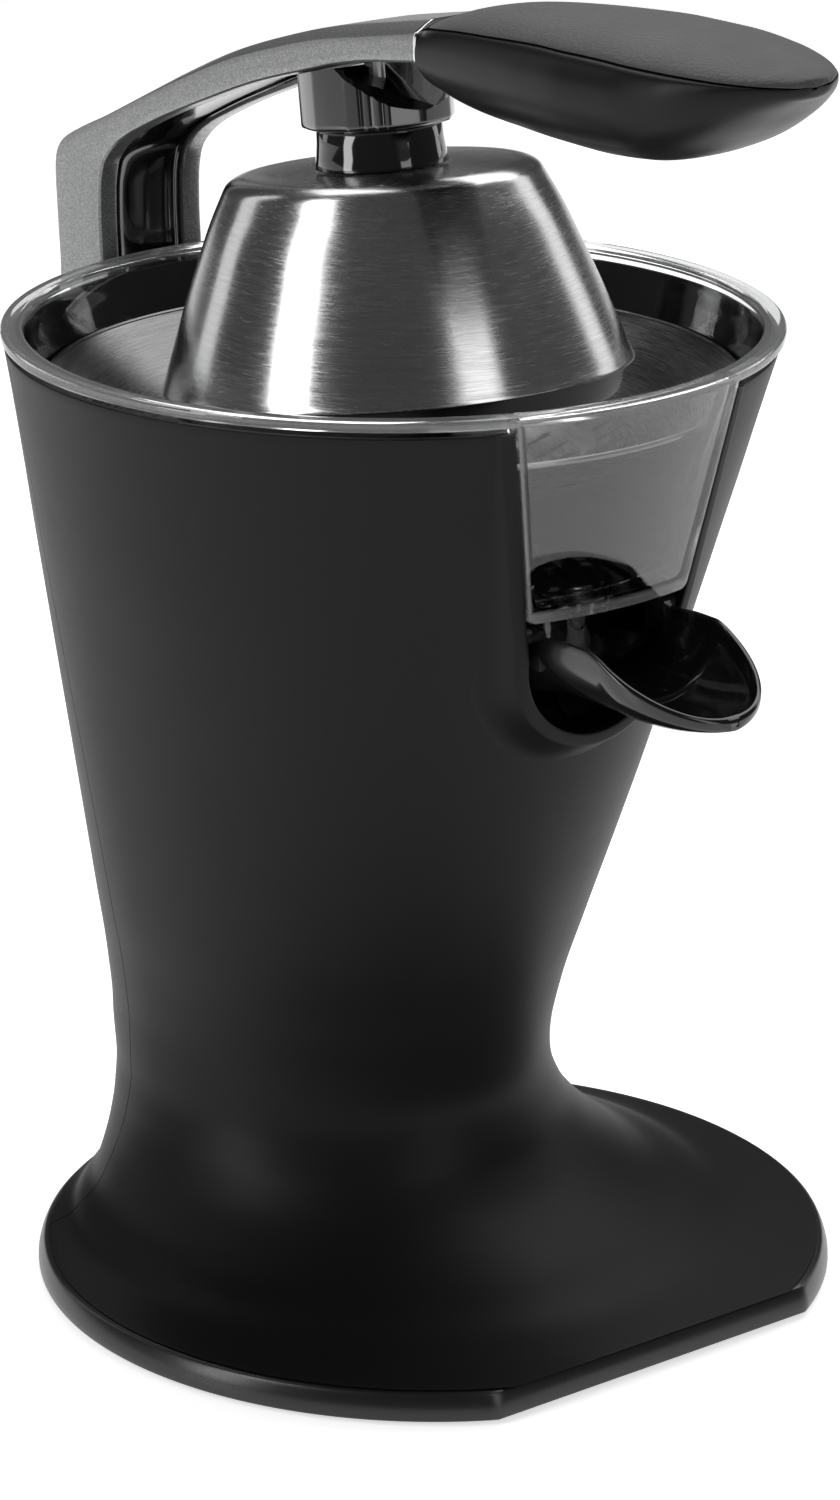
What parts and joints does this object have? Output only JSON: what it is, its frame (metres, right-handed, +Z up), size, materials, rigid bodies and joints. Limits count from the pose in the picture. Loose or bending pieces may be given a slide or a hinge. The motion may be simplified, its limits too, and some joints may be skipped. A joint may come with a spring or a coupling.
{
  "type": "citrus press juicer",
  "caption": "Electric citrus press juicer: flared housing on a round foot, clear bowl with strainer and reamer, tilting pouring spout, hinged lever with a pressing hood.",
  "frame": {"origin": "middle of the footprint of the bounding box, on the worktop", "axes": "+Z up; -Y is the pouring side with the spout and the lever's grip; +X is the right-hand side seen from behind"},
  "size_m": [0.2004, 0.271, 0.3292],
  "materials": {
    "housing_black": "satin-gloss black, lightly moulded surface",
    "base_black": "satin black",
    "foot_rubber": "matt",
    "screw_steel": "zinc plated",
    "deck_black": "moulded satin black",
    "bush_bronze": "sintered bronze",
    "bowl_clear": "clear moulded plastic, polished",
    "strainer_steel": "spun, fine circular brushing",
    "plate_steel": "pressed sheet",
    "cover_plastic": "moulded",
    "switch_plastic": "phenolic moulding",
    "core_steel": "stacked laminations",
    "coil_copper": "varnished winding wire",
    "brush_brass": "pressed",
    "pin_steel": "ground",
    "grommet_rubber": "matt",
    "spring_steel": "drawn wire",
    "collar_plastic": "moulded acetal",
    "reamer_black": "polished",
    "gear_acetal": "moulded acetal",
    "fan_plastic": "moulded",
    "commutator_copper": "turned segments",
    "pinion_brass": "machined",
    "plunger_red": "moulded",
    "spout_black": "high gloss",
    "arm_silver": "silver metallic lacquer with fine flake",
    "lining_black": "gloss",
    "hood_steel": "spun, fine horizontal brushing",
    "liner_black": "satin gloss",
    "neck_black": "high gloss",
    "grip_soft": "soft-touch, very fine texture",
    "grip_shell_black": "satin black",
    "trim_chrome": "bright plated"
  },
  "bodies": {
    "housing": {"front_housing": "housing_black", "rear_housing": "housing_black", "base_plate": "base_black", "foot_front_left": "foot_rubber", "foot_front_right": "foot_rubber", "foot_rear_left": "foot_rubber", "foot_rear_right": "foot_rubber", "base_screw_1": "screw_steel", "base_screw_2": "screw_steel", "base_screw_3": "screw_steel", "base_screw_4": "screw_steel", "inner_deck": "deck_black", "spindle_bush": "bush_bronze", "juice_bowl": "bowl_clear", "strainer": "strainer_steel", "gearbox_plate": "plate_steel", "gearbox_cover": "cover_plastic", "idler_pin": "pin_steel", "motor_bush_upper": "bush_bronze", "motor_bush_lower": "bush_bronze", "micro_switch": "switch_plastic", "field_core": "core_steel", "field_coil_front": "coil_copper", "field_coil_rear": "coil_copper", "motor_bracket": "plate_steel", "motor_bolt_1": "screw_steel", "motor_bolt_2": "screw_steel", "brush_holder_front": "brush_brass", "brush_holder_rear": "brush_brass", "hinge_pin": "pin_steel", "cord_grommet": "grommet_rubber", "return_spring": "spring_steel"},
    "press": {"thrust_collar": "collar_plastic"},
    "spindle": {"drive_shaft": "pin_steel", "reamer_cone": "reamer_black"},
    "output": {"output_gear": "gear_acetal"},
    "idler": {"idler_gear": "gear_acetal"},
    "rotor": {"armature_shaft": "pin_steel", "armature_winding": "coil_copper", "armature_core": "core_steel", "commutator": "commutator_copper", "cooling_fan": "fan_plastic", "motor_pinion": "pinion_brass"},
    "plunger": {"switch_plunger": "plunger_red"},
    "spout": {"spout": "spout_black"},
    "lever": {"lever_arm": "arm_silver", "arm_lining": "lining_black", "hood_shell": "hood_steel", "hood_liner": "liner_black", "hood_neck": "neck_black", "hood_boss": "neck_black", "hood_bolt": "screw_steel", "grip_insert": "grip_soft", "grip_shell": "grip_shell_black", "grip_trim": "trim_chrome"}
  },
  "joints": [
    {"name": "lever_hinge", "type": "hinge", "parent": "housing", "child": "lever", "pos_m": [0, 0.12455, 0.215], "axis": [-1, 0, 0], "range_deg": [0, 80]},
    {"name": "spout_flip", "type": "hinge", "parent": "housing", "child": "spout", "pos_m": [0, -0.06395, 0.184], "axis": [-1, 0, 0], "range_deg": [0, 24]},
    {"name": "reamer_press", "type": "slide", "parent": "housing", "child": "press", "axis": [0, 0, -1], "range_m": [0, 0.0025], "stiffness_N_per_m": 2000, "springref_m": -0.004, "deforming": ["return_spring"]},
    {"name": "spindle_spin", "type": "hinge", "parent": "press", "child": "spindle", "pos_m": [0, 0.01355, 0.2], "axis": [0, 0, 1], "continuous": true},
    {"name": "output_spin", "type": "hinge", "parent": "housing", "child": "output", "pos_m": [0, 0.01355, 0.13], "axis": [0, 0, 1], "continuous": true},
    {"name": "idler_spin", "type": "hinge", "parent": "housing", "child": "idler", "pos_m": [0.0268, 0.03606, 0.13], "axis": [0, 0, 1], "continuous": true},
    {"name": "rotor_spin", "type": "hinge", "parent": "housing", "child": "rotor", "pos_m": [0, 0.04955, 0.05], "axis": [0, 0, 1], "continuous": true},
    {"name": "plunger_slide", "type": "slide", "parent": "housing", "child": "plunger", "axis": [0, 0, -1], "range_m": [0, 0.0025]}
  ],
  "couplings": [
    {"joint": "idler_spin", "follows": "rotor_spin", "ratio": -0.25},
    {"joint": "output_spin", "follows": "rotor_spin", "ratio": 0.0625},
    {"joint": "spindle_spin", "follows": "rotor_spin", "ratio": 0.0625},
    {"joint": "plunger_slide", "follows": "reamer_press", "ratio": 1}
  ]
}
